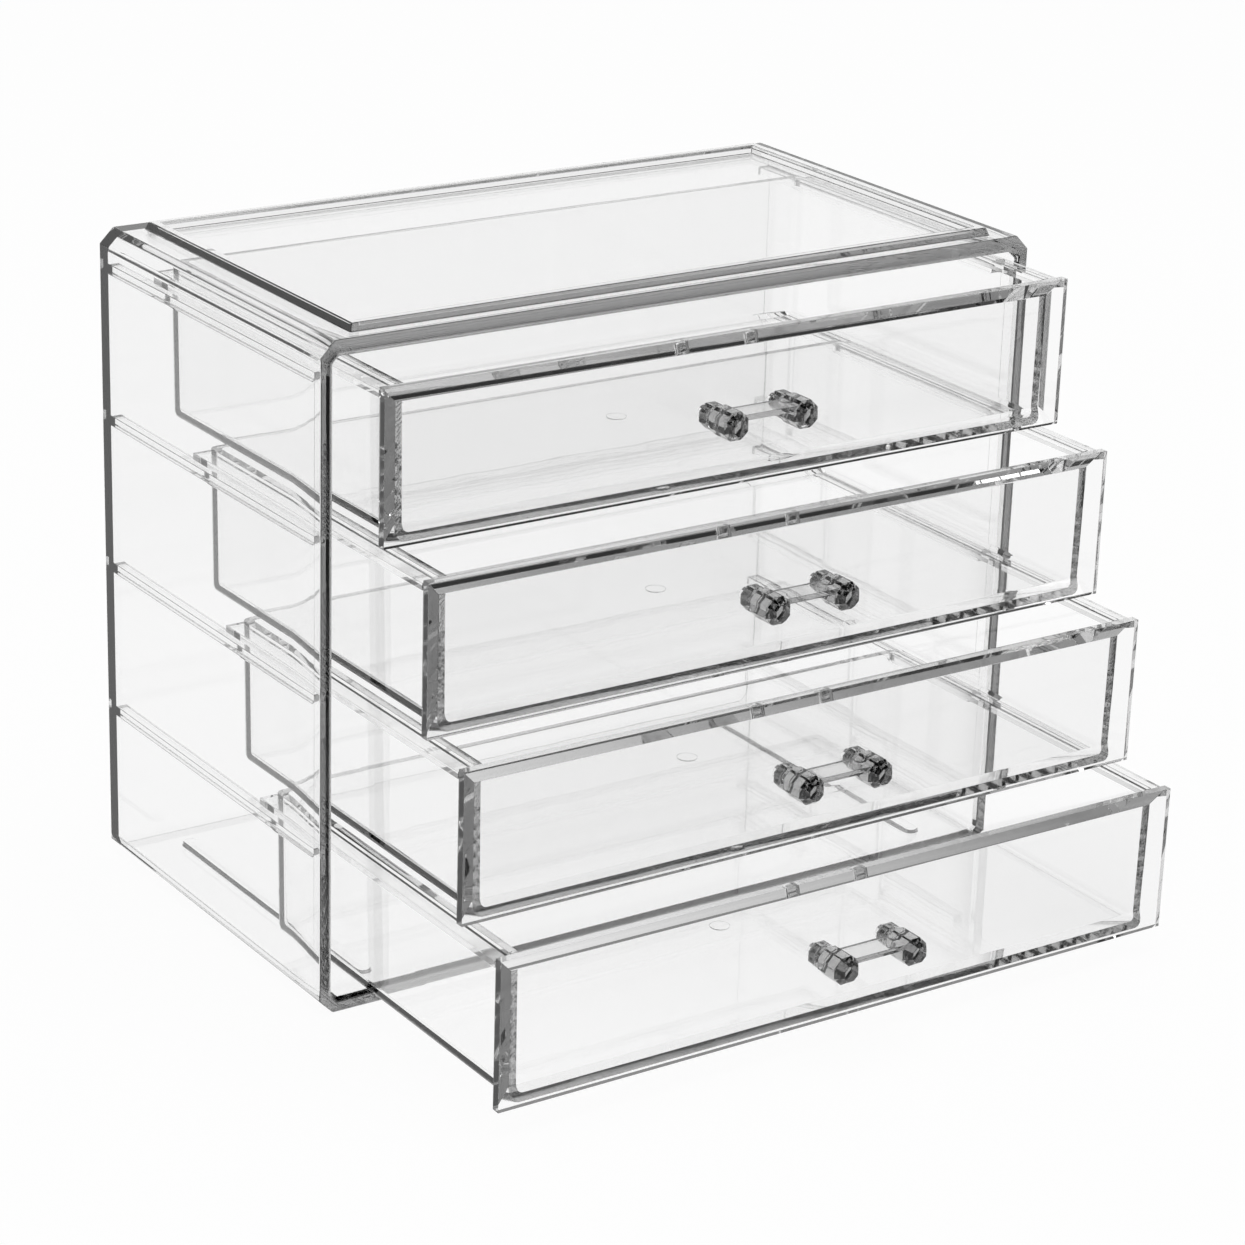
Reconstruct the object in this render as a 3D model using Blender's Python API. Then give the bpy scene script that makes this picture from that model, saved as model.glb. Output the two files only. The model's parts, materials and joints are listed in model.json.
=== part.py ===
import bmesh
import bpy
from math import cos, pi, radians, sin

# A clear moulded organizer: one case with rails inside, and four drawers that slide out of its front.
# Metres, +Z up, +X to the right and the front towards -Y. The origin is on the ground under the middle
# of the case. The drawers stand open in steps, as they are shown, the top one least.

# Case: one moulding, open at the front
case_width = 0.2400
case_depth = 0.1305
side_wall = 0.0031
top_wall = 0.0039
floor_wall = 0.0032
back_wall = 0.0030
corner_chamfer = 0.0044
mouth_lip = 0.0012
mouth_lip_length = 0.0240
mouth_chamfer = 0.0012
mouth_steps = 10
mouth_curve = 4

# Rim on the top, which keeps what stands there from sliding off
rim_side_inset = 0.0115
rim_front_inset = 0.0042
rim_back_inset = 0.0064
rim_width = 0.0042
rim_height = 0.0023
rim_draft = 0.0008

# Two low ribs on the floor of the case
rib_side_inset = 0.0220
rib_front_inset = 0.0088
rib_back_inset = 0.0119
rib_width = 0.0046
rib_height = 0.0012
rib_end_steps = 6

# Rails on the inner side walls
rail_height = 0.0026
rail_reach = 0.0038
rail_nose = 0.0012
rail_nose_steps = 3

# Drawers: a tray with a flange along each side, a wider front plate and a handle
opening_of_first = 0.0248
opening_of_second = 0.0478
opening_of_third = 0.0669
opening_of_fourth = 0.0866
drawer_top_gap = 0.0030
drawer_between_gap = 0.0019
drawer_bottom_gap = 0.0047
drawer_back_gap = 0.0005
front_side_gap = 0.0020
front_height = 0.0442
front_edge = 0.0027
front_bevel_width = 0.0052
front_bevel_depth = 0.0030
tray_side_inset = 0.0048
tray_wall = 0.0025
tray_floor = 0.0022
tray_draft = 0.0004
tray_lift = 0.0005
tray_round = 0.0024
tray_inner_round = 0.0016
tray_round_steps = 3
flange_drop = 0.0010
flange_thickness = 0.0020
gate_radius = 0.0030
gate_height = 0.0003

# Handle: two eight-sided posts, a flat bar between them and a round spigot behind each post
post_spacing = 0.0235
collar_flats = 0.0072
collar_length = 0.0042
neck_flats = 0.0056
neck_length = 0.0008
barrel_flats = 0.0081
barrel_length = 0.0080
tip_flats = 0.0046
tip_length = 0.0025
post_edge = 0.0004
bar_depth = 0.0076
bar_thickness = 0.0017
bar_lift = 0.0020
spigot_radius = 0.0020
spigot_length = 0.0030
post_sides = 8
round_sides = 24

# Gap left between pieces that seat on each other, and how far cutters run past what they cut
seat_gap = 0.0003
overrun = 0.0020

# Places worked out from the sizes. The case is as high as its drawers and the gaps round them need.
drawer_openings = (opening_of_first, opening_of_second, opening_of_third, opening_of_fourth)
drawer_count = len(drawer_openings)
drawer_pitch = front_height + drawer_between_gap
case_height = (floor_wall + drawer_bottom_gap + drawer_count * drawer_pitch - drawer_between_gap
               + drawer_top_gap + top_wall)
case_front = -case_depth / 2
case_back = case_depth / 2
inner_half = case_width / 2 - side_wall
inner_back = case_back - back_wall
ceiling = case_height - top_wall
front_half = inner_half - front_side_gap
front_thickness = front_edge + front_bevel_depth
tray_back = inner_back - drawer_back_gap - case_front
tray_half = front_half - tray_side_inset
tray_bottom = -front_height + tray_lift
flange_bottom = -flange_drop - flange_thickness
handle_height = -front_height / 2
first_drawer_top = ceiling - drawer_top_gap


def clear_scene():
    for item in list(bpy.data.objects):
        bpy.data.objects.remove(item, do_unlink=True)


def clear_plastic(name, tint, roughness):
    material = bpy.data.materials.new(name)
    material.use_nodes = True
    shader = material.node_tree.nodes["Principled BSDF"]
    shader.inputs["Base Color"].default_value = (*tint, 1)
    shader.inputs["Roughness"].default_value = roughness
    shader.inputs["Metallic"].default_value = 0
    shader.inputs["Transmission Weight"].default_value = 1
    shader.inputs["IOR"].default_value = 1.5
    return material


def place(name, mesh):
    item = bpy.data.objects.new(name, mesh)
    bpy.context.scene.collection.objects.link(item)
    return item


def solid(name, bm):
    bmesh.ops.recalc_face_normals(bm, faces=bm.faces)
    mesh = bpy.data.meshes.new(name)
    bm.to_mesh(mesh)
    bm.free()
    return place(name, mesh)


def extrude(bm, outline, push):
    # Pushes a flat outline into a closed prism and returns the prism's edges.
    first = bm.faces.new([bm.verts.new(point) for point in outline])
    made = bmesh.ops.extrude_face_region(bm, geom=[first])["geom"]
    moved = [part for part in made if isinstance(part, bmesh.types.BMVert)]
    bmesh.ops.translate(bm, verts=moved, vec=push)
    corners = set(first.verts) | set(moved)
    return [edge for edge in bm.edges if edge.verts[0] in corners and edge.verts[1] in corners]


def block(bm, low, high):
    outline = [(low[0], low[1], low[2]), (high[0], low[1], low[2]),
               (high[0], low[1], high[2]), (low[0], low[1], high[2])]
    return extrude(bm, outline, (0, high[1] - low[1], 0))


def loft(bm, outlines):
    # Skins a row of outlines that have as many points each, and closes both ends.
    rings = [[bm.verts.new(point) for point in outline] for outline in outlines]
    for here, there in zip(rings, rings[1:]):
        for point in range(len(here)):
            after = (point + 1) % len(here)
            bm.faces.new((here[point], here[after], there[after], there[point]))
    bm.faces.new(rings[0])
    bm.faces.new(rings[-1])


def round_edges(bm, edges, radius, steps):
    bmesh.ops.bevel(bm, geom=edges, offset=radius, offset_type="OFFSET", segments=steps,
                    profile=0.5, affect="EDGES")


def cylinder(bm, radius, start, end, x, z):
    # A round bar along Y, from start to end.
    ring = [(x + radius * cos(2 * pi * step / round_sides), start, z + radius * sin(2 * pi * step / round_sides))
            for step in range(round_sides)]
    extrude(bm, ring, (0, end - start, 0))


def combine(item, other, operation):
    other.hide_render = True
    other.display_type = "WIRE"
    change = item.modifiers.new(other.name, "BOOLEAN")
    change.operation = operation
    change.solver = "EXACT"
    change.object = other


def finished_mesh(name, item):
    # The mesh that an object's modifiers make, for copies that share it. The object and its helpers go.
    graph = bpy.context.evaluated_depsgraph_get()
    mesh = bpy.data.meshes.new_from_object(item.evaluated_get(graph))
    mesh.name = name
    helpers = [change.object for change in item.modifiers]
    for used in helpers + [item]:
        bpy.data.objects.remove(used, do_unlink=True)
    return mesh


def chamfered_outline(half, low, high, leg, y):
    return [(-half + leg, y, low), (half - leg, y, low), (half, y, low + leg), (half, y, high - leg),
            (half - leg, y, high), (-half + leg, y, high), (-half, y, high - leg), (-half, y, low + leg)]


def parallel_leg(leg, inset):
    # The leg of a 45 degree chamfer once it and its two sides are drawn in evenly.
    return leg - inset * (2 - 2 ** 0.5)


def cavity_ring(y, lip):
    # The inner chamfer is shorter than the outer one, so that the wall is even round the corner.
    leg = parallel_leg(corner_chamfer, side_wall + lip)
    return chamfered_outline(inner_half - lip, floor_wall + lip, ceiling - lip, leg, y)


def case_shell():
    bm = bmesh.new()
    extrude(bm, chamfered_outline(case_width / 2, 0, case_height, corner_chamfer, case_front), (0, case_depth, 0))
    return solid("case", bm)


def case_cavity():
    # The walls thicken towards the mouth in a slow curve, and a chamfer breaks the lip's inner edge.
    rings = [cavity_ring(case_front - mouth_chamfer, -mouth_lip)]
    for step in range(mouth_steps + 1):
        part = step / mouth_steps
        distance = mouth_chamfer + (mouth_lip_length - mouth_chamfer) * part
        rings.append(cavity_ring(case_front + distance, mouth_lip * (1 - part) ** mouth_curve))
    rings.append(cavity_ring(inner_back, 0))
    bm = bmesh.new()
    loft(bm, rings)
    return solid("case_cavity", bm)


def rail_top(number):
    return first_drawer_top - number * drawer_pitch + flange_bottom - seat_gap


def case_rails():
    # Each rail starts behind the front plate of its closed drawer and runs into the back wall.
    bm = bmesh.new()
    start = case_front + front_thickness + seat_gap
    for number in range(drawer_count):
        top = rail_top(number)
        for side in (-1, 1):
            tip = side * (inner_half - rail_reach)
            root = side * (inner_half + side_wall / 2)
            low = (min(tip, root), start, top - rail_height)
            high = (max(tip, root), inner_back + back_wall / 2, top)
            edges = block(bm, low, high)
            nose = [edge for edge in edges
                    if all(corner.co.y < 0 and corner.co.z < top - rail_height / 2 for corner in edge.verts)]
            round_edges(bm, nose, rail_nose, rail_nose_steps)
    return solid("case_rails", bm)


def case_rim():
    # A ridge of one tapered section, mitred at the four corners.
    base = case_height - top_wall / 2
    crest = case_height + rim_height
    section = ((0, base), (0, case_height), (rim_draft, crest),
               (rim_width - rim_draft, crest), (rim_width, case_height), (rim_width, base))
    half = case_width / 2 - rim_side_inset
    front = case_front + rim_front_inset
    back = case_back - rim_back_inset
    bm = bmesh.new()
    corners = []
    for side, end in ((-1, -1), (1, -1), (1, 1), (-1, 1)):
        edge = front if end < 0 else back
        corners.append([bm.verts.new((side * (half - inset), edge - end * inset, height))
                        for inset, height in section])
    for number, here in enumerate(corners):
        there = corners[(number + 1) % len(corners)]
        for point in range(len(section)):
            after = (point + 1) % len(section)
            bm.faces.new((here[point], there[point], there[after], here[after]))
    return solid("case_rim", bm)


def case_ribs():
    bm = bmesh.new()
    radius = rib_width / 2
    front = case_front + rib_front_inset + radius
    back = case_back - rib_back_inset - radius
    for side in (-1, 1):
        middle = side * (case_width / 2 - rib_side_inset)
        outline = []
        for centre, turn in ((front, pi), (back, 0)):
            for step in range(rib_end_steps + 1):
                angle = turn + pi * step / rib_end_steps
                outline.append((middle + radius * cos(angle), centre + radius * sin(angle), floor_wall / 2))
        extrude(bm, outline, (0, 0, floor_wall / 2 + rib_height))
    return solid("case_ribs", bm)


def build_case():
    case = case_shell()
    combine(case, case_cavity(), "DIFFERENCE")
    combine(case, case_rails(), "UNION")
    combine(case, case_rim(), "UNION")
    combine(case, case_ribs(), "UNION")
    mesh = finished_mesh("case", case)
    mesh.materials.append(clear_plastic("clear_case", (0.93, 0.94, 0.95), 0.03))
    return place("case", mesh)


def tray_half_at(height):
    # The side walls lean in towards the floor.
    return tray_half - tray_draft * height / tray_bottom


def tray_profile(inset, low, high, y):
    return [(-tray_half_at(low) + inset, y, low), (tray_half_at(low) - inset, y, low),
            (tray_half_at(high) - inset, y, high), (-tray_half_at(high) + inset, y, high)]


def lower_edges(edges, back, top):
    # The two long bottom edges, and the edges round the back apart from the one at the top.
    chosen = []
    for edge in edges:
        low = all(corner.co.z < top for corner in edge.verts)
        behind = all(corner.co.y > back for corner in edge.verts)
        along = abs(edge.verts[0].co.y - edge.verts[1].co.y) > back
        high = all(corner.co.z > top for corner in edge.verts)
        if (low and (along or behind)) or (behind and not high):
            chosen.append(edge)
    return chosen


def tray_block():
    bm = bmesh.new()
    edges = extrude(bm, tray_profile(0, tray_bottom, 0, front_edge), (0, tray_back - front_edge, 0))
    round_edges(bm, lower_edges(edges, tray_back / 2, tray_bottom / 2), tray_round, tray_round_steps)
    return solid("tray", bm)


def tray_cavity():
    bm = bmesh.new()
    start = front_edge - overrun
    end = tray_back - tray_wall
    edges = extrude(bm, tray_profile(tray_wall, tray_bottom + tray_floor, overrun, start), (0, end - start, 0))
    round_edges(bm, lower_edges(edges, tray_back / 2, tray_bottom / 2), tray_inner_round, tray_round_steps)
    return solid("tray_cavity", bm)


def tray_flanges():
    bm = bmesh.new()
    for side in (-1, 1):
        root = side * (tray_half_at(flange_bottom) - tray_wall / 2)
        tip = side * front_half
        block(bm, (min(root, tip), front_edge, flange_bottom), (max(root, tip), tray_back, -flange_drop))
    return solid("tray_flanges", bm)


def tray_gate_mark():
    # The small round stub that the mould's gate leaves under the middle of the floor.
    bm = bmesh.new()
    middle = (front_edge + tray_back) / 2
    ring = [(gate_radius * cos(2 * pi * step / round_sides),
             middle + gate_radius * sin(2 * pi * step / round_sides), tray_bottom - gate_height)
            for step in range(round_sides)]
    extrude(bm, ring, (0, 0, gate_height + tray_floor / 2))
    return solid("tray_gate_mark", bm)


def front_ring(inset, y):
    return [(-front_half + inset, y, -front_height + inset), (front_half - inset, y, -front_height + inset),
            (front_half - inset, y, -inset), (-front_half + inset, y, -inset)]


def tray_seat():
    # The front plate's bevel and flat back, a gap behind them and wider, which trims the tray to fit there.
    bm = bmesh.new()
    before = front_edge + seat_gap - front_bevel_depth / 2
    loft(bm, [front_ring(-front_bevel_width / 2, before), front_ring(front_bevel_width, front_thickness + seat_gap)])
    return solid("tray_seat", bm)


def tray_mesh():
    tray = tray_block()
    combine(tray, tray_cavity(), "DIFFERENCE")
    combine(tray, tray_flanges(), "UNION")
    combine(tray, tray_gate_mark(), "UNION")
    combine(tray, tray_seat(), "DIFFERENCE")
    mesh = finished_mesh("tray", tray)
    mesh.materials.append(clear_plastic("clear_tray", (0.94, 0.95, 0.95), 0.04))
    return mesh


def front_mesh():
    # Flat in front, square at its ends, and bevelled behind to the flat that the tray is bonded to.
    bm = bmesh.new()
    loft(bm, [front_ring(0, 0), front_ring(0, front_edge), front_ring(front_bevel_width, front_thickness)])
    front = solid("front", bm)
    bm = bmesh.new()
    for side in (-1, 1):
        cylinder(bm, spigot_radius + seat_gap, -overrun, spigot_length + seat_gap,
                 side * post_spacing / 2, handle_height)
    combine(front, solid("front_holes", bm), "DIFFERENCE")
    mesh = finished_mesh("front", front)
    mesh.materials.append(clear_plastic("clear_front", (0.93, 0.94, 0.95), 0.03))
    return mesh


def post_rings():
    # Distance ahead of the front plate and width across flats, from the collar to the tip.
    barrel = seat_gap + collar_length + neck_length
    return ((seat_gap, collar_flats - 2 * post_edge),
            (seat_gap + post_edge, collar_flats),
            (seat_gap + collar_length - post_edge, collar_flats),
            (seat_gap + collar_length, neck_flats),
            (barrel, neck_flats),
            (barrel + post_edge, barrel_flats),
            (barrel + barrel_length, barrel_flats),
            (barrel + barrel_length + tip_length, tip_flats))


def handle_posts():
    bm = bmesh.new()
    half_turn = pi / post_sides
    for side in (-1, 1):
        rings = []
        for distance, flats in post_rings():
            radius = flats / 2 / cos(half_turn)
            angles = [2 * half_turn * step + half_turn for step in range(post_sides)]
            rings.append([(side * post_spacing / 2 + radius * cos(angle), -distance,
                           handle_height + radius * sin(angle)) for angle in angles])
        loft(bm, rings)
    return solid("handle_posts", bm)


def handle_spigots():
    bm = bmesh.new()
    for side in (-1, 1):
        cylinder(bm, spigot_radius, -seat_gap - collar_length / 2, spigot_length,
                 side * post_spacing / 2, handle_height)
    return solid("handle_spigots", bm)


def handle_mesh():
    middle = -seat_gap - collar_length - neck_length - (post_edge + barrel_length) / 2
    reach = post_spacing / 2 - barrel_flats / 4
    height = handle_height + bar_lift
    bm = bmesh.new()
    block(bm, (-reach, middle - bar_depth / 2, height - bar_thickness / 2),
          (reach, middle + bar_depth / 2, height + bar_thickness / 2))
    handle = solid("handle", bm)
    combine(handle, handle_posts(), "UNION")
    combine(handle, handle_spigots(), "UNION")
    mesh = finished_mesh("handle", handle)
    mesh.materials.append(clear_plastic("clear_handle", (0.90, 0.91, 0.92), 0.02))
    return mesh


def build_drawers():
    meshes = {"tray": tray_mesh(), "front": front_mesh(), "handle": handle_mesh()}
    for number, opening in enumerate(drawer_openings):
        # Each drawer hangs on an empty at the top edge of its front, which slides along Y.
        carrier = place(f"drawer_{number + 1}", None)
        carrier.location = (0, case_front - opening, first_drawer_top - number * drawer_pitch)
        for piece, mesh in meshes.items():
            item = place(f"drawer_{number + 1}_{piece}", mesh)
            item.parent = carrier


clear_scene()
build_case()
build_drawers()
for item in bpy.data.objects:
    if item.type == "MESH":
        item.data.shade_smooth()
        item.data.set_sharp_from_angle(angle=radians(30))
bpy.context.view_layer.update()
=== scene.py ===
import bmesh
import bpy
import json
from math import cos, radians, sin
from mathutils import Matrix, Vector


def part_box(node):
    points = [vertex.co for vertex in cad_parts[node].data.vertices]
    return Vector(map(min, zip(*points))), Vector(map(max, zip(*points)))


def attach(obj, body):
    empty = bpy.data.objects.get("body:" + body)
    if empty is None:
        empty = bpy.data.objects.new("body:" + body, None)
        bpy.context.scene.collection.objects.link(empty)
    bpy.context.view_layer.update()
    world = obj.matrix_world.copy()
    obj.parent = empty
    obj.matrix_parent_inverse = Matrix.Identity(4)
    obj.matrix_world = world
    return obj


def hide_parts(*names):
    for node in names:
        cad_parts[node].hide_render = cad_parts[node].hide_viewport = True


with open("model.json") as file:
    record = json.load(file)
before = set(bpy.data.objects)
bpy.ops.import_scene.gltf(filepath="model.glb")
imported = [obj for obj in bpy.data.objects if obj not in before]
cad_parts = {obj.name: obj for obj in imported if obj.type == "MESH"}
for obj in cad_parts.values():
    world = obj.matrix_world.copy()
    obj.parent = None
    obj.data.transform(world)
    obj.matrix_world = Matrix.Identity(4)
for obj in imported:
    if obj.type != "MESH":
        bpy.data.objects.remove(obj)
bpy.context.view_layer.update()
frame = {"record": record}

scene = bpy.context.scene
mm = 0.001
bodies = frame["record"]["behaviour"]["bodies"]

# The camera stands at the left in front of the organizer, a little above it

cameraView = {
    "place": (-588.01 * mm, -896.78 * mm, 481.00 * mm),
    "azimuth": radians(-34.280),
    "elevation": radians(20.724),
    "roll": radians(1.828),
    "focalPixels": 3766.5,
    "frameWidth": 1245,
    "sensor": 36.0,
}


def addCamera(view):
    turn, lift = view["azimuth"], view["elevation"]
    back = Vector((sin(turn) * cos(lift), -cos(turn) * cos(lift), sin(lift)))
    right = Vector((cos(turn), sin(turn), 0))
    up = back.cross(right)
    across = right * cos(view["roll"]) + up * sin(view["roll"])
    over = back.cross(across)
    data = bpy.data.cameras.new("camera")
    data.sensor_width = view["sensor"]
    data.lens = view["focalPixels"] / view["frameWidth"] * view["sensor"]
    data.clip_start = 0.01
    camera = bpy.data.objects.new("camera", data)
    turned = Matrix((across, over, back)).transposed().to_4x4()
    camera.matrix_world = Matrix.Translation(view["place"]) @ turned
    scene.collection.objects.link(camera)
    scene.camera = camera


addCamera(cameraView)
print("camera placed")


def hexColour(code):  # sRGB hex to a linear colour
    parts = [int(code[start:start + 2], 16) / 255 for start in (0, 2, 4)]
    linear = [part / 12.92 if part <= 0.04045 else ((part + 0.055) / 1.055) ** 2.4 for part in parts]
    return (*linear, 1)


def addNode(tree, kind, settings=None, links=None):
    # settings holds node properties by name, and socket values by "in:" and the socket's name or number
    node = tree.nodes.new(kind)
    for name, value in (settings or {}).items():
        if name.startswith("in:"):
            key = name[3:]
            node.inputs[int(key) if key.isdigit() else key].default_value = value
        else:
            setattr(node, name, value)
    for name, source in (links or {}).items():
        tree.links.new(source, node.inputs[int(name) if name.isdigit() else name])
    return node


def newMaterial(name):
    material = bpy.data.materials.new(name)
    material.use_nodes = True
    material.node_tree.nodes.clear()
    return material, material.node_tree


# Clear acrylic. Each piece was moulded by itself, so each has its own ripple, wear and depth of tone.

plasticLooks = {
    "case": {"tint": "FFFFFF", "absorbTint": "606060", "absorbPerMetre": 7.5, "rippleSize": 30 * mm,
             "rippleDepth": 0.020, "scratchSize": 0.35 * mm, "scratchDepth": 0.010, "haze": 0.012},
    "tray": {"tint": "FFFFFF", "absorbTint": "606060", "absorbPerMetre": 3.2, "rippleSize": 22 * mm,
             "rippleDepth": 0.030, "scratchSize": 0.30 * mm, "scratchDepth": 0.014, "haze": 0.016},
    "front": {"tint": "FFFFFF", "absorbTint": "606060", "absorbPerMetre": 0.8, "rippleSize": 40 * mm,
              "rippleDepth": 0.012, "scratchSize": 0.35 * mm, "scratchDepth": 0.008, "haze": 0.008},
    "handle": {"tint": "FFFFFF", "absorbTint": "303030", "absorbPerMetre": 80.0, "rippleSize": 9 * mm,
               "rippleDepth": 0.010, "scratchSize": 0.30 * mm, "scratchDepth": 0.006, "haze": 0.004},
}
acrylicIor = 1.49
alongSlide = (1.0, 0.02, 1.0)  # stretches the scratches along Y, the way that the drawers slide
scratchShare = (0.66, 0.72)  # only the highest of the noise becomes a scratch
hazeShare = (0.45, 0.75)  # where the ripple stands high, the gloss is a little softer


def injectionMouldedAcrylic(name, look):
    # Crystal-clear and glossy. Melt that cooled while it flowed leaves a faint slow ripple in the faces,
    # and use leaves hairline scratches, which run mostly along the way the drawers slide. Real ones are
    # finer than a render shows, so these are drawn coarser. The absorption is what a wall takes from light
    # that runs along inside it.
    material, tree = newMaterial(name)
    place = addNode(tree, "ShaderNodeTexCoord")
    ripple = addNode(tree, "ShaderNodeTexNoise", {
        "in:Scale": 1 / look["rippleSize"], "in:Detail": 1.0, "in:Roughness": 0.4,
    }, {"Vector": place.outputs["Object"]})
    drawn = addNode(tree, "ShaderNodeMapping", {"in:Scale": alongSlide},
                    {"Vector": place.outputs["Object"]})
    hair = addNode(tree, "ShaderNodeTexNoise", {
        "in:Scale": 1 / look["scratchSize"], "in:Detail": 2.0, "in:Roughness": 0.7,
    }, {"Vector": drawn.outputs[0]})
    thin = addNode(tree, "ShaderNodeMapRange", {
        "in:From Min": scratchShare[0], "in:From Max": scratchShare[1],
    }, {"Value": hair.outputs["Fac"]})
    slow = addNode(tree, "ShaderNodeBump", {
        "in:Strength": look["rippleDepth"], "in:Distance": 1 * mm,
    }, {"Height": ripple.outputs["Fac"]})
    fine = addNode(tree, "ShaderNodeBump", {
        "in:Strength": look["scratchDepth"], "in:Distance": 0.1 * mm, "invert": True,
    }, {"Height": thin.outputs[0], "Normal": slow.outputs["Normal"]})
    rough = addNode(tree, "ShaderNodeMapRange", {
        "in:From Min": hazeShare[0], "in:From Max": hazeShare[1], "in:To Min": 0.0,
        "in:To Max": look["haze"],
    }, {"Value": ripple.outputs["Fac"]})
    shader = addNode(tree, "ShaderNodeBsdfPrincipled", {
        "in:Base Color": hexColour(look["tint"]), "in:IOR": acrylicIor, "in:Transmission Weight": 1.0,
    }, {"Normal": fine.outputs["Normal"], "Roughness": rough.outputs[0]})
    absorb = addNode(tree, "ShaderNodeVolumeAbsorption", {
        "in:Color": hexColour(look["absorbTint"]), "in:Density": look["absorbPerMetre"],
    })
    addNode(tree, "ShaderNodeOutputMaterial", None, {
        "Surface": shader.outputs["BSDF"], "Volume": absorb.outputs["Volume"],
    })
    return material


def solventWeldedSeam(name, look):
    # Where the plate was welded to the tray with solvent, small trapped streaks catch the light.
    material, tree = newMaterial(name)
    place = addNode(tree, "ShaderNodeTexCoord")
    cloud = addNode(tree, "ShaderNodeTexNoise", {
        "in:Scale": 1 / look["cloudSize"], "in:Detail": 3.0,
    }, {"Vector": place.outputs["Object"]})
    rough = addNode(tree, "ShaderNodeMapRange", {
        "in:From Min": 0.3, "in:From Max": 0.7, "in:To Min": 0.02, "in:To Max": look["roughness"],
    }, {"Value": cloud.outputs["Fac"]})
    shader = addNode(tree, "ShaderNodeBsdfPrincipled", {
        "in:Base Color": hexColour(look["tint"]), "in:IOR": look["ior"], "in:Transmission Weight": 1.0,
    }, {"Roughness": rough.outputs[0]})
    addNode(tree, "ShaderNodeOutputMaterial", None, {"Surface": shader.outputs["BSDF"]})
    return material


plastics = {kind: injectionMouldedAcrylic("injectionMouldedAcrylic_" + kind, look)
            for kind, look in plasticLooks.items()}
seamMaterial = solventWeldedSeam("solventWeldedSeam", {
    "tint": "F4F4F4", "ior": 1.45, "roughness": 0.25, "cloudSize": 0.8 * mm,
})
print("materials made")

# The moulded pieces: merged copies of the CAD nodes, with their edges eased as a polished mould leaves them

# A crease sharper than the angle stays a crease. The front plates' 30 degree bevel has to stay flat, because
# it mirrors like a prism.
caseEdges = {"radius": 0.35 * mm, "crease": radians(32)}
trayEdges = {"radius": 0.30 * mm, "crease": radians(32)}
frontEdges = {"radius": 0.22 * mm, "crease": radians(20)}
handleEdges = {"radius": 0.10 * mm, "crease": radians(20)}
edgeLooks = {"case": caseEdges, "tray": trayEdges, "front": frontEdges, "handle": handleEdges}
edgeSteps = 3
samePoint = 0.002 * mm
flatWithin = radians(0.5)


def polishedCopy(node, edges, material):
    mesh = bpy.data.objects[node].data.copy()
    bm = bmesh.new()
    bm.from_mesh(mesh)
    bmesh.ops.remove_doubles(bm, verts=bm.verts, dist=samePoint)
    bmesh.ops.dissolve_limit(bm, angle_limit=flatWithin, verts=bm.verts, edges=bm.edges)
    bm.to_mesh(mesh)
    bm.free()
    piece = bpy.data.objects.new("polished_" + node, mesh)
    scene.collection.objects.link(piece)
    mesh.shade_smooth()
    mesh.set_sharp_from_angle(angle=edges["crease"])
    bevel = piece.modifiers.new("easedEdges", "BEVEL")
    bevel.width = edges["radius"]
    bevel.segments = edgeSteps
    bevel.limit_method = "ANGLE"
    bevel.angle_limit = edges["crease"]
    bevel.harden_normals = True
    bevel.miter_outer = "MITER_ARC"
    flat = piece.modifiers.new("flatFaces", "WEIGHTED_NORMAL")
    flat.mode = "FACE_AREA"
    flat.weight = 100
    flat.keep_sharp = True
    mesh.materials.clear()
    mesh.materials.append(material)
    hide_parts(node)
    return piece


for body, nodes in bodies.items():
    for node in nodes:
        kind = node.split("_")[-1] if "_" in node else "case"
        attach(polishedCopy(node, edgeLooks[kind], plastics[kind]), body)
print("moulded pieces dressed")

# The welded seams: slanted streaks in the joint between each tray's side walls and its front plate

seam = {
    "wallMiddle": 108.55 * mm,
    "jointDepth": 5.85 * mm,
    "topDrop": 3.5 * mm,
    "bottomDrop": 41.0 * mm,
    "pitch": 1.3 * mm,
    "streakLength": 2.3 * mm,
    "streakWidth": 0.55 * mm,
    "streakThickness": 0.2 * mm,
    "slant": radians(38),
    "jitter": 0.35,
    "seed": 7,
}


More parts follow.
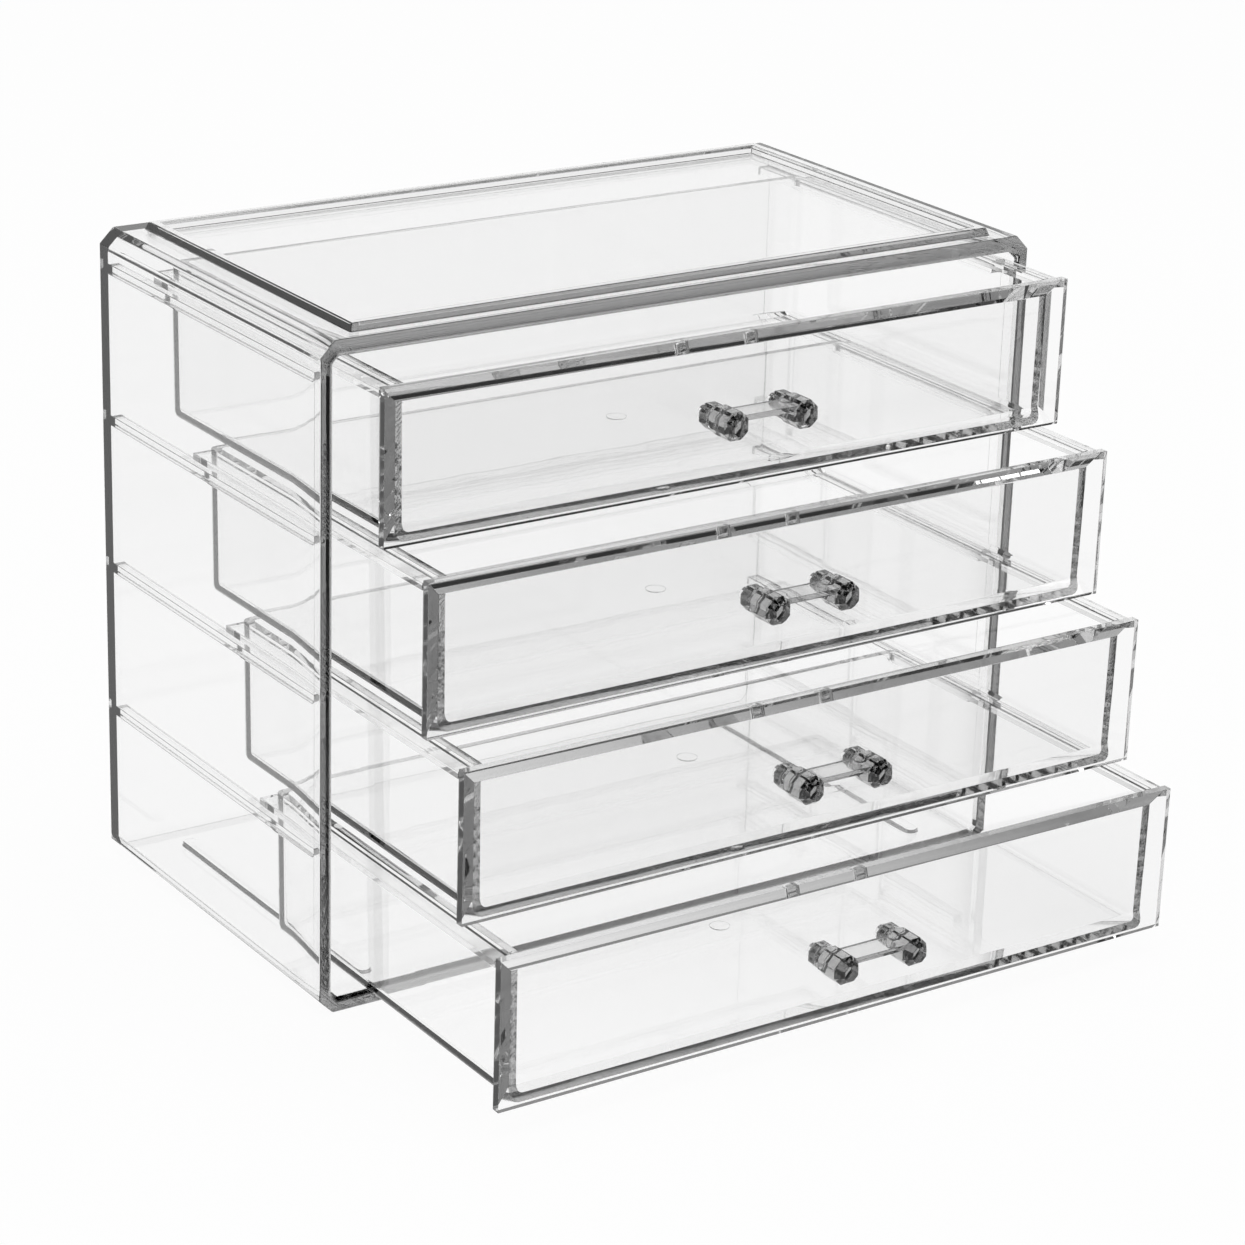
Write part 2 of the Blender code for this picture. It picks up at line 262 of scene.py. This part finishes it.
def seamTree(look):
    tree = bpy.data.node_groups.new("weldedSeam", "GeometryNodeTree")
    tree.is_modifier = True
    face = tree.interface
    face.new_socket("Geometry", in_out="INPUT", socket_type="NodeSocketGeometry")
    for name, kind in (("Pitch", "Float"), ("Streak Size", "Vector"), ("Slant", "Float"), ("Jitter", "Float"),
                       ("Seed", "Int"), ("Material", "Material")):
        face.new_socket(name, in_out="INPUT", socket_type="NodeSocket" + kind)
    face.new_socket("Geometry", in_out="OUTPUT", socket_type="NodeSocketGeometry")
    given = addNode(tree, "NodeGroupInput")
    path = addNode(tree, "GeometryNodeMeshToCurve", None, {"Mesh": given.outputs["Geometry"]})
    points = addNode(tree, "GeometryNodeResampleCurve", {"mode": "LENGTH"},
                     {"Curve": path.outputs[0], "Length": given.outputs["Pitch"]})
    ball = addNode(tree, "GeometryNodeMeshIcoSphere", {"in:Radius": 0.5, "in:Subdivisions": 2})
    wobble = addNode(tree, "FunctionNodeRandomValue", {
        "data_type": "FLOAT", "in:2": -1.0, "in:3": 1.0}, {"Seed": given.outputs["Seed"]})
    swing = addNode(tree, "ShaderNodeMath", {"operation": "MULTIPLY"},
                    {"0": wobble.outputs[1], "1": given.outputs["Jitter"]})
    tilt = addNode(tree, "ShaderNodeMath", {"operation": "ADD"},
                   {"0": swing.outputs[0], "1": given.outputs["Slant"]})
    turn = addNode(tree, "ShaderNodeCombineXYZ", None, {"Y": tilt.outputs[0]})
    grow = addNode(tree, "ShaderNodeMath", {"operation": "MULTIPLY_ADD", "in:2": 1.0},
                   {"0": swing.outputs[0], "1": given.outputs["Jitter"]})
    size = addNode(tree, "ShaderNodeVectorMath", {"operation": "SCALE"},
                   {"0": given.outputs["Streak Size"], "Scale": grow.outputs[0]})
    streaks = addNode(tree, "GeometryNodeInstanceOnPoints", None, {
        "Points": points.outputs[0], "Instance": ball.outputs["Mesh"],
        "Rotation": turn.outputs[0], "Scale": size.outputs[0]})
    whole = addNode(tree, "GeometryNodeRealizeInstances", None, {"Geometry": streaks.outputs[0]})
    smooth = addNode(tree, "GeometryNodeSetShadeSmooth", None, {"Geometry": whole.outputs[0]})
    dressed = addNode(tree, "GeometryNodeSetMaterial", None, {
        "Geometry": smooth.outputs[0], "Material": given.outputs["Material"]})
    addNode(tree, "NodeGroupOutput", None, {"Geometry": dressed.outputs[0]})
    return tree


def growMesh(name, mesh, tree, values):
    # Runs the tree on a mesh and keeps the result as a plain mesh
    holder = bpy.data.objects.new(name, mesh)
    scene.collection.objects.link(holder)
    grown = holder.modifiers.new(name, "NODES")
    grown.node_group = tree
    keys = {item.name: item.identifier for item in tree.interface.items_tree
            if item.item_type == "SOCKET" and item.in_out == "INPUT"}
    for label, value in values.items():
        grown[keys[label]] = value
    graph = bpy.context.evaluated_depsgraph_get()
    result = bpy.data.meshes.new_from_object(holder.evaluated_get(graph))
    holder.modifiers.clear()
    holder.data = result
    return holder


def addSeams(look):
    tree = seamTree(look)
    for number in range(1, 5):
        body = f"drawer_{number}"
        low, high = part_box(body + "_front")
        depth = low[1] + look["jointDepth"]
        ends = [(side * look["wallMiddle"], depth, high[2] - look[drop])
                for side in (-1, 1) for drop in ("topDrop", "bottomDrop")]
        path = bpy.data.meshes.new("seamPath")
        path.from_pydata(ends, [(0, 1), (2, 3)], [])
        piece = growMesh("weldedSeam_" + str(number), path, tree, {
            "Pitch": look["pitch"], "Slant": look["slant"], "Jitter": look["jitter"],
            "Streak Size": (look["streakWidth"], look["streakThickness"], look["streakLength"]),
            "Seed": look["seed"] + number, "Material": seamMaterial})
        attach(piece, body)


addSeams(seam)
print("welded seams added")

# A white sweep behind, under and to the left of the organizer, and a dim studio to the right and in front,
# painted as shade into the glow of floor and sky where they are seen after a reflection in the plastic

studio = {
    "floorSize": 3.0,
    "floorGap": 0.3 * mm,
    "floorGlow": 0.95,
    "floorShade": 0.05,
    "sweepTop": 0.50,
    "sweepSoft": 0.08,
    "studioDark": 0.06,
    "openAbove": 0.80,
    "openSoft": 0.1,
    "sideDark": 0.26,
    "paintedGlowKeptPerBounce": 0.98,
    "skySlope": -0.6,
    "skyFrom": 0.15,
    "skyTo": 0.40,
    "floorSlope": -0.7,
    "floorFrom": -0.25,
    "floorTo": -0.10,
}


def dimSides(tree, shade, kept):
    # Painted shade in the glow of floor and sky: white for what is seen straight through clear plastic,
    # painted dimmer for light that was reflected on its way, and painted dimmer again by the same share with
    # each further reflection
    rays = addNode(tree, "ShaderNodeLightPath")
    bounced = addNode(tree, "ShaderNodeMath", {"operation": "MINIMUM", "in:1": 1.0},
                      {"0": rays.outputs["Glossy Depth"]})
    side = addNode(tree, "ShaderNodeMix", {"in:2": 1.0}, {"0": bounced.outputs[0], "3": shade.outputs[0]})
    # Painted shade: the glow is painted darker by a fixed share for every reflection inside the plastic
    paintedBounceShade = addNode(tree, "ShaderNodeMath", {"operation": "POWER", "in:0": kept},
                   {"1": rays.outputs["Glossy Depth"]})
    return rays, addNode(tree, "ShaderNodeMath", {"operation": "MULTIPLY"},
                         {"0": side.outputs[0], "1": paintedBounceShade.outputs[0]})


def addFloor(setup):
    half = setup["floorSize"] / 2
    level = -setup["floorGap"]
    mesh = bpy.data.meshes.new("floor")
    corners = [(-half, -half, level), (half, -half, level), (half, half, level), (-half, half, level)]
    mesh.from_pydata(corners, [], [(0, 1, 2, 3)])
    floor = bpy.data.objects.new("floor", mesh)
    scene.collection.objects.link(floor)
    material, tree = newMaterial("paintedSweep")
    spot = addNode(tree, "ShaderNodeNewGeometry")
    split = addNode(tree, "ShaderNodeSeparateXYZ", None, {"0": spot.outputs["Position"]})
    wedge = addNode(tree, "ShaderNodeMath", {"operation": "MULTIPLY_ADD", "in:1": setup["floorSlope"]},
                    {"0": split.outputs["X"], "2": split.outputs["Y"]})
    # Painted shade: seen after a reflection in the plastic, the floor glows darker on the right and in front
    shade = addNode(tree, "ShaderNodeMapRange", {
        "in:From Min": setup["floorFrom"], "in:From Max": setup["floorTo"],
        "in:To Min": setup["sideDark"], "in:To Max": 1.0,
    }, {"Value": wedge.outputs[0]})
    rays, fall = dimSides(tree, shade, setup["paintedGlowKeptPerBounce"])
    strength = addNode(tree, "ShaderNodeMath", {"operation": "MULTIPLY", "in:0": setup["floorGlow"]},
                       {"1": fall.outputs[0]})
    glow = addNode(tree, "ShaderNodeEmission", {"in:Color": (1, 1, 1, 1)}, {"Strength": strength.outputs[0]})
    matte = addNode(tree, "ShaderNodeBsdfDiffuse", {"in:Color": (setup["floorShade"],) * 3 + (1,)})
    both = addNode(tree, "ShaderNodeAddShader", None, {"0": glow.outputs[0], "1": matte.outputs[0]})
    addNode(tree, "ShaderNodeOutputMaterial", None, {"Surface": both.outputs[0]})
    mesh.materials.append(material)


def addWorld(setup):
    world = bpy.data.worlds.new("studio")
    scene.world = world
    world.use_nodes = True
    tree = world.node_tree
    tree.nodes.clear()
    place = addNode(tree, "ShaderNodeTexCoord")
    split = addNode(tree, "ShaderNodeSeparateXYZ", None, {"0": place.outputs["Generated"]})
    sweep = addNode(tree, "ShaderNodeMapRange", {
        "in:From Min": setup["sweepTop"], "in:From Max": setup["sweepTop"] + setup["sweepSoft"],
        "in:To Min": 1.0, "in:To Max": setup["studioDark"],
    }, {"Value": split.outputs["Z"]})
    above = addNode(tree, "ShaderNodeMapRange", {
        "in:From Min": setup["openAbove"], "in:From Max": setup["openAbove"] + setup["openSoft"],
        "in:To Min": 0.0, "in:To Max": 1.0,
    }, {"Value": split.outputs["Z"]})
    brighter = addNode(tree, "ShaderNodeMath", {"operation": "MAXIMUM"},
                       {"0": sweep.outputs[0], "1": above.outputs[0]})
    wedge = addNode(tree, "ShaderNodeMath", {"operation": "MULTIPLY_ADD", "in:1": setup["skySlope"]},
                    {"0": split.outputs["X"], "2": split.outputs["Y"]})
    # Painted shade: seen after a reflection in the plastic, the sky glows darker on the right and in front
    shade = addNode(tree, "ShaderNodeMapRange", {
        "in:From Min": setup["skyFrom"], "in:From Max": setup["skyTo"],
        "in:To Min": setup["sideDark"], "in:To Max": 1.0,
    }, {"Value": wedge.outputs[0]})
    rays, fall = dimSides(tree, shade, setup["paintedGlowKeptPerBounce"])
    dimmed = addNode(tree, "ShaderNodeMath", {"operation": "MULTIPLY"},
                     {"0": brighter.outputs[0], "1": fall.outputs[0]})
    strength = addNode(tree, "ShaderNodeMath", {"operation": "MAXIMUM"},
                       {"0": dimmed.outputs[0], "1": rays.outputs["Is Camera Ray"]})
    shine = addNode(tree, "ShaderNodeBackground", {"in:Color": (1, 1, 1, 1)},
                    {"Strength": strength.outputs[0]})
    addNode(tree, "ShaderNodeOutputWorld", None, {"Surface": shine.outputs[0]})


softbox = {"place": (0, -0.2, 1.5), "aim": (0, 0, 0), "size": 0.8, "watts": 6}


def addLamp(name, setup):
    data = bpy.data.lights.new(name, "AREA")
    data.size = setup["size"]
    data.energy = setup["watts"]
    lamp = bpy.data.objects.new(name, data)
    lamp.location = setup["place"]
    toward = Vector(setup["aim"]) - Vector(setup["place"])
    lamp.rotation_euler = toward.to_track_quat("-Z", "Y").to_euler()
    scene.collection.objects.link(lamp)


addFloor(studio)
addWorld(studio)
addLamp("softboxAbove", softbox)
print("stage and lamps set")

scene.view_settings.view_transform = "Standard"

# Light runs along inside the walls by many reflections before it leaves them
scene.cycles.max_bounces = 48
scene.cycles.transmission_bounces = 48
scene.cycles.glossy_bounces = 24
scene.cycles.transparent_max_bounces = 48
scene.cycles.diffuse_bounces = 2
